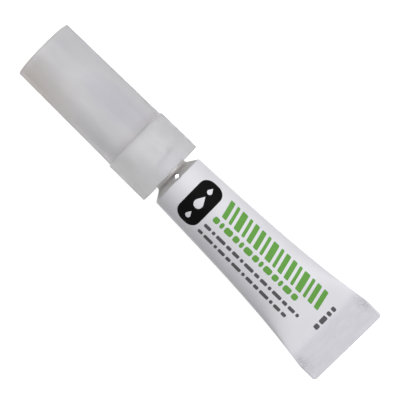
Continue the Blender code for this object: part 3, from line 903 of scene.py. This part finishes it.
def print_marks(name, outlines, sheet, material):
    """Ink on the printed face: flat outlines, cut into strips, dropped on it and given a thickness."""
    mesh = flat_mesh(outlines)
    bm = bmesh.new()
    bm.from_mesh(mesh)
    bmesh.ops.remove_doubles(bm, verts=bm.verts, dist=SAME_PLACE)
    cut_in_strips(bm, Vector((1.0, 0.0, 0.0)))
    cut_in_strips(bm, Vector((0.0, 1.0, 0.0)))
    bmesh.ops.recalc_face_normals(bm, faces=bm.faces)
    lower = {vertex: sheet.place(*vertex.co.xy, INK_LIFT - INK_THICKNESS) for vertex in bm.verts}
    upper = {flat_place(vertex): sheet.place(*vertex.co.xy, INK_LIFT) for vertex in bm.verts}
    grown = bmesh.ops.extrude_face_region(bm, geom=list(bm.faces), use_keep_orig=True)
    for item in grown["geom"]:
        if isinstance(item, bmesh.types.BMVert):
            item.co = upper[flat_place(item)]
    for vertex, target in lower.items():
        vertex.co = target
    bmesh.ops.recalc_face_normals(bm, faces=bm.faces)
    bm.to_mesh(mesh)
    bm.free()
    add_piece(name, mesh, "tube", [material])


def rounded_box(low, high, radius, steps=CORNER_STEPS):
    """An outline of (station, distance) points with round corners."""
    left, bottom = low[0] + radius, low[1] + radius
    right, top = high[0] - radius, high[1] - radius
    points, turn = [], 0
    for centre in [(right, top), (left, top), (left, bottom), (right, bottom)]:
        points += arc(centre, radius, turn, turn + 90, steps)
        turn += 90
    return points


def drop_outline(station, distance, radius, length):
    """A drop: a round belly with a point on the far side."""
    half = math.acos(radius / length)
    angles = np.linspace(half, 2 * math.pi - half, DROP_STEPS + 1)
    belly = [(station + radius * math.sin(a), distance - radius * math.cos(a)) for a in angles]
    return [(station, distance - length), *belly]


def slanted_bar(station, width):
    """A bar across the tube, leaning towards the tail, with round corners."""
    low, high = BAR_SIDES
    box = rounded_box((station - width, low), (station, high), BAR_CORNER_RADIUS)
    return [(x - BAR_SLANT * (y - low), y) for x, y in box]


def row_of_dashes(row, lengths):
    """Short round-ended strokes in a row down the tube."""
    station, end, low, high = row
    radius = (high - low) * DASH_ROUNDNESS
    outlines = []
    for length in cycle(lengths):
        if station - length < end:
            return outlines
        outlines.append(rounded_box((station - length, low), (station, high), radius))
        station -= length + DASH_GAP


def print_badge(sheet, black):
    """A black plate with round ends across the tube, with three drops in a row left bare."""
    (far, near), half = BADGE_ENDS, BADGE_HALF_WIDTH
    plate = rounded_box((far, -half), (near, half), BADGE_CORNER_RADIUS, FILLET_STEPS)
    drops = [drop_outline((near + far) / 2, *drop) for drop in DROPS]
    print_marks("badge", [plate, *drops], sheet, black)


def print_green_marks(sheet, green):
    """A heavy row of slanted bars and, below it, a thin row of dashes."""
    bars = []
    station, end = BARS_ENDS
    for width in cycle(BAR_WIDTHS):
        if station <= end:
            break
        bars.append(slanted_bar(station, width))
        station -= width + BAR_GAP
    print_marks("green_bars", bars, sheet, green)
    print_marks("green_dashes", row_of_dashes(GREEN_ROW, GREEN_DASHES), sheet, green)


def print_grey_rows(sheet, grey):
    """Two rows of fine strokes down the tube, and one row across it near the tail."""
    rows = row_of_dashes(NEAR_GREY_ROW, GREY_DASHES) + row_of_dashes(FAR_GREY_ROW, GREY_DASHES[::-1])
    print_marks("grey_rows", rows, sheet, grey)
    far, near = CROSS_DASH_ENDS
    across, distance = [], CROSS_ROW_START
    for length in CROSS_DASHES:
        across.append(rounded_box((far, distance), (near, distance + length), CROSS_DASH_CORNER_RADIUS))
        distance += length + DASH_GAP
    print_marks("grey_row_across", across, sheet, grey)


def make_print(shell):
    sheet = Sheet(shell)
    print_badge(sheet, ink_material("black_ink", colour=(0.004, 0.0036, 0.004)))
    print_green_marks(sheet, ink_material("green_ink", colour=(0.13, 0.335, 0.066)))
    print_grey_rows(sheet, ink_material("grey_ink", colour=(0.10, 0.10, 0.105)))


# Nozzle


def gusset_mesh():
    """A thin triangular web, standing on the deck and sunk a little in it and in the spout."""
    inner = (ORIFICE_RADIUS + SPOUT_TIP_RADIUS) / 2
    foot = DECK_TOP - GUSSET_DEPTH_IN_DECK
    side = -GUSSET_THICKNESS / 2
    corners = [
        (foot, side, inner),
        (foot, side, GUSSET_REACH),
        (DECK_TOP + SPOUT_FILLET, side, GUSSET_REACH),
        (DECK_TOP + GUSSET_HEIGHT, side, inner),
    ]
    bm = bmesh.new()
    face = bm.faces.new([bm.verts.new(corner) for corner in corners])
    grown = bmesh.ops.extrude_face_region(bm, geom=[face])
    moved = [item for item in grown["geom"] if isinstance(item, bmesh.types.BMVert)]
    bmesh.ops.translate(bm, verts=moved, vec=(0.0, GUSSET_THICKNESS, 0.0))
    bmesh.ops.recalc_face_normals(bm, faces=bm.faces)
    mesh = bpy.data.meshes.new("gusset")
    bm.to_mesh(mesh)
    bm.free()
    return mesh


def with_gussets(mesh):
    """The nozzle's turned body with its webs joined on."""
    holder = show(bpy.data.objects.new("nozzle_body", mesh))
    webs = bpy.data.collections.new("webs")
    bpy.context.scene.collection.children.link(webs)
    gusset = gusset_mesh()
    for index in range(GUSSET_COUNT):
        web = bpy.data.objects.new("web", gusset)
        web.location = (0.0, 0.0, AXIS_HEIGHT)
        web.rotation_euler = ((index + 0.5) * 2 * math.pi / GUSSET_COUNT, 0.0, 0.0)
        webs.objects.link(web)
    union = holder.modifiers.new("webs", "BOOLEAN")
    union.operation = "UNION"
    union.operand_type = "COLLECTION"
    union.collection = webs
    bpy.context.view_layer.update()
    joined = evaluated_mesh(holder)
    for web in list(webs.objects):
        bpy.data.objects.remove(web)
    bpy.data.collections.remove(webs)
    return joined


def make_nozzle(material):
    spike_end = DECK_UNDERSIDE - SPIKE_LENGTH
    tip_centre = (SPOUT_TIP_RADIUS - SPOUT_EDGE_RADIUS, SPOUT_TIP - SPOUT_EDGE_RADIUS)
    fillet_centre = (SPOUT_BASE_RADIUS + SPOUT_FILLET, DECK_TOP + SPOUT_FILLET)
    edge_centre = (SKIRT_RADIUS - DECK_EDGE_RADIUS, DECK_TOP - DECK_EDGE_RADIUS)
    upper = [
        (ORIFICE_RADIUS, SPOUT_TIP),
        *arc(tip_centre, SPOUT_EDGE_RADIUS, 90, 0, FINE_EDGE_STEPS),
        *arc(fillet_centre, SPOUT_FILLET, 180, 270, FILLET_STEPS),
        *arc(edge_centre, DECK_EDGE_RADIUS, 90, 0, EDGE_STEPS),
    ]
    lower = [
        (NECK_ROOM_RADIUS, SKIRT_END),
        (NECK_ROOM_RADIUS, DECK_UNDERSIDE),
        (SPIKE_RADIUS, DECK_UNDERSIDE),
        (SPIKE_RADIUS, spike_end + SPIKE_POINT_LENGTH),
        (ORIFICE_RADIUS + SPIKE_POINT_WALL, spike_end),
        (ORIFICE_RADIUS, spike_end),
    ]
    thread_start = SKIRT_END + NOZZLE_THREAD_FROM_SKIRT_END
    thread = (thread_start, DECK_TOP - NOZZLE_THREAD_FROM_DECK_TOP, NOZZLE_THREAD_PHASE)
    skirt = threaded_rings(SKIRT_RADIUS, upper[-1][1], SKIRT_END, thread, outward=1)
    mesh = with_gussets(skin("nozzle_dressed", [*turned(upper[:-1]), *skirt, *turned(lower)], closed=True))
    add_piece("nozzle_dressed", mesh, "tube", [material], ["nozzle"])


# Cap, plug and pin


def make_cap(material):
    collar_top = COLLAR_RADIUS - COLLAR_DRAFT
    inner_radius, inner_tip_radius = CAP_RADIUS - CAP_WALL, CAP_TIP_RADIUS - CAP_WALL
    socket_outside = PLUG_SOCKET_RADIUS + PLUG_SOCKET_WALL
    socket_end = CAP_INNER_END - PLUG_SOCKET_DEPTH
    tip_centre = (CAP_TIP_RADIUS - CAP_EDGE_RADIUS, CAP_TIP - CAP_EDGE_RADIUS)
    tip_edge = arc(tip_centre, CAP_EDGE_RADIUS, 90, 0, EDGE_STEPS)
    ledge_shares = np.linspace(0.0, 1.0, LEDGE_STATIONS)
    ledge_radii = CAP_RADIUS + (collar_top - CAP_RADIUS) * smooth(ledge_shares)
    ledge = [*zip(ledge_radii, CAP_STEP + LEDGE_RUN * (0.5 - ledge_shares))]
    mouth_centre = (COLLAR_RADIUS - COLLAR_MOUTH_RADIUS, CAP_MOUTH + COLLAR_MOUTH_RADIUS)
    outside = [
        (GATE_MARK_FLOOR_RADIUS, CAP_TIP - GATE_MARK_DEPTH),
        (GATE_MARK_RADIUS, CAP_TIP),
        *tip_edge,
        *divided(tip_edge[-1], ledge[0], CAP_SPACING)[1:],
        *ledge,
        *arc(mouth_centre, COLLAR_MOUTH_RADIUS, 0, -90, CORNER_STEPS),
        (COLLAR_BORE_RADIUS + COLLAR_MOUTH_CHAMFER, CAP_MOUTH),
    ]
    inside = [
        *divided((inner_radius, CAP_STEP), (inner_tip_radius, CAP_INNER_END), CAP_SPACING),
        (inner_tip_radius, CAP_INNER_END),
        (socket_outside, CAP_INNER_END),
        (socket_outside, socket_end),
        (PLUG_SOCKET_RADIUS, socket_end),
        (PLUG_SOCKET_RADIUS, CAP_INNER_END),
        (GATE_MARK_RADIUS, CAP_INNER_END),
    ]
    bore_start = CAP_MOUTH + COLLAR_MOUTH_CHAMFER
    bore_end = CAP_STEP - CAP_WALL / 2
    thread = (bore_start + CAP_THREAD_FROM_CHAMFER, bore_end - CAP_THREAD_FROM_BORE_END, CAP_THREAD_PHASE)
    bore = threaded_rings(COLLAR_BORE_RADIUS, bore_start, bore_end, thread, outward=-1)
    mesh = skin("cap_dressed", [*turned(outside), *bore, *turned(inside)])
    add_piece("cap_dressed", mesh, "cap", [material], ["cap"])


def make_plug(material):
    radius, edge = PLUG_HIGH.y, PLUG_EDGE_RADIUS
    cup_floor = SPOUT_TIP + SEAT_GAP
    hole_end = PIN_HIGH.x + PIN_HOLE_SPARE
    profile = [
        (radius * CENTRE_SHARE, PLUG_HIGH.x),
        *arc((radius - edge, PLUG_HIGH.x - edge), edge, 90, 0, FINE_EDGE_STEPS),
        *arc((radius - edge, PLUG_LOW.x + edge), edge, 0, -90, FINE_EDGE_STEPS),
        *arc((PLUG_CUP_RADIUS + edge, PLUG_LOW.x + edge), edge, 270, 180, FINE_EDGE_STEPS),
        (PLUG_CUP_RADIUS, cup_floor),
        (PIN_HOLE_RADIUS, cup_floor),
        (PIN_HOLE_RADIUS, hole_end),
        (PIN_HOLE_RADIUS * CENTRE_SHARE, hole_end),
    ]
    mesh = skin("plug_dressed", turned(profile, SMALL_SEGMENTS))
    add_piece("plug_dressed", mesh, "cap_core", [material], ["cap_seal_plug"])


def make_pin(material):
    radius, edge = PIN_HIGH.y, PIN_EDGE_RADIUS
    profile = [
        (radius * CENTRE_SHARE, PIN_HIGH.x),
        *arc((radius - edge, PIN_HIGH.x - edge), edge, 90, 0, FINE_EDGE_STEPS),
        (radius, PIN_LOW.x + PIN_POINT_LENGTH),
        *arc((radius * PIN_POINT_SHARE - edge, PIN_LOW.x + edge), edge, -30, -90, FINE_EDGE_STEPS),
        (radius * CENTRE_SHARE, PIN_LOW.x),
    ]
    mesh = skin("pin_dressed", turned(profile, SMALL_SEGMENTS))
    add_piece("pin_dressed", mesh, "cap_core", [material], ["clearing_pin"])


def dress_hidden_pieces():
    """The filling and the sealing band stay the CAD's own solids; only their finish changes."""
    gel = {"light": (0.9, 0.9, 0.87), "dark": (0.86, 0.86, 0.82), "transmission": 0.9, "roughness": 0.12}
    sealant = {"light": (0.36, 0.33, 0.27), "dark": (0.3, 0.27, 0.22), "roughness": 0.6}
    finishes = {
        "glue_gel": cloudy_material("clear_gel", **gel)[0],
        "tail_sealant": moulded_material("sealing_compound", **sealant),
    }
    for node, material in finishes.items():
        frame["nodes"][node].data.materials.clear()
        frame["nodes"][node].data.materials.append(material)


# Studio


def make_floor():
    mesh = bpy.data.meshes.new("floor")
    half = FLOOR_HALF_SIZE
    corners = [(-half, -half, 0), (half, -half, 0), (half, half, 0), (-half, half, 0)]
    mesh.from_pydata(corners, [], [(0, 1, 2, 3)])
    colours = {"Base_Color": (FLOOR_GREY, FLOOR_GREY, FLOOR_GREY, 1.0), "Emission_Color": (*WHITE, 1.0)}
    material, graph, shader = new_material("white_floor", Roughness=0.9, Specular_IOR_Level=0.0, **colours)
    graph.feed(shader, {"Emission Strength": graph.between(graph.seen(), 0.0, FLOOR_GLOW)})
    mesh.materials.append(material)
    show(bpy.data.objects.new("floor", mesh))


def make_world():
    world = bpy.data.worlds.new("studio")
    bpy.context.scene.world = world
    graph = Graph(world)
    strength = graph.between(graph.seen(), WORLD_LIGHT, WORLD_SEEN)
    graph.feed(graph.nodes["Background"], {"Color": (*WHITE, 1.0), "Strength": strength})


def add_light(name, place, size, power):
    """A square lamp that points at the middle of the object."""
    lamp = bpy.data.lights.new(name, "AREA")
    lamp.shape = "RECTANGLE"
    lamp.size = lamp.size_y = size
    lamp.energy = power
    light = show(bpy.data.objects.new(name, lamp))
    light.location = place
    aim = Vector((0.0, 0.0, AXIS_HEIGHT)) - Vector(place)
    light.rotation_euler = aim.to_track_quat("-Z", "Y").to_euler()


def add_camera():
    camera = bpy.data.cameras.new("camera")
    camera.lens = CAMERA_LENS
    camera.sensor_width = SENSOR_WIDTH
    view = show(bpy.data.objects.new("camera", camera))
    view.location = (*CAMERA_PLACE, AXIS_HEIGHT + CAMERA_HEIGHT)
    view.rotation_euler = (0.0, 0.0, CAMERA_TURN)
    bpy.context.scene.camera = view
    bpy.context.scene.view_settings.view_transform = "Standard"


make_print(make_tube_shell(enamel_material(), bare_metal_material()))
make_nozzle(moulded_material("natural_polyethylene", (0.86, 0.86, 0.85), (0.80, 0.80, 0.79), roughness=0.4))
make_cap(cap_material())
make_plug(moulded_material("soft_polyethylene", (0.84, 0.84, 0.83), (0.78, 0.78, 0.77), roughness=0.5))
make_pin(steel_material())
dress_hidden_pieces()
make_floor()
make_world()
add_light("key", KEY_PLACE, KEY_SIZE, KEY_POWER)
add_light("sparkle", SPARKLE_PLACE, SPARKLE_SIZE, SPARKLE_POWER)
add_camera()
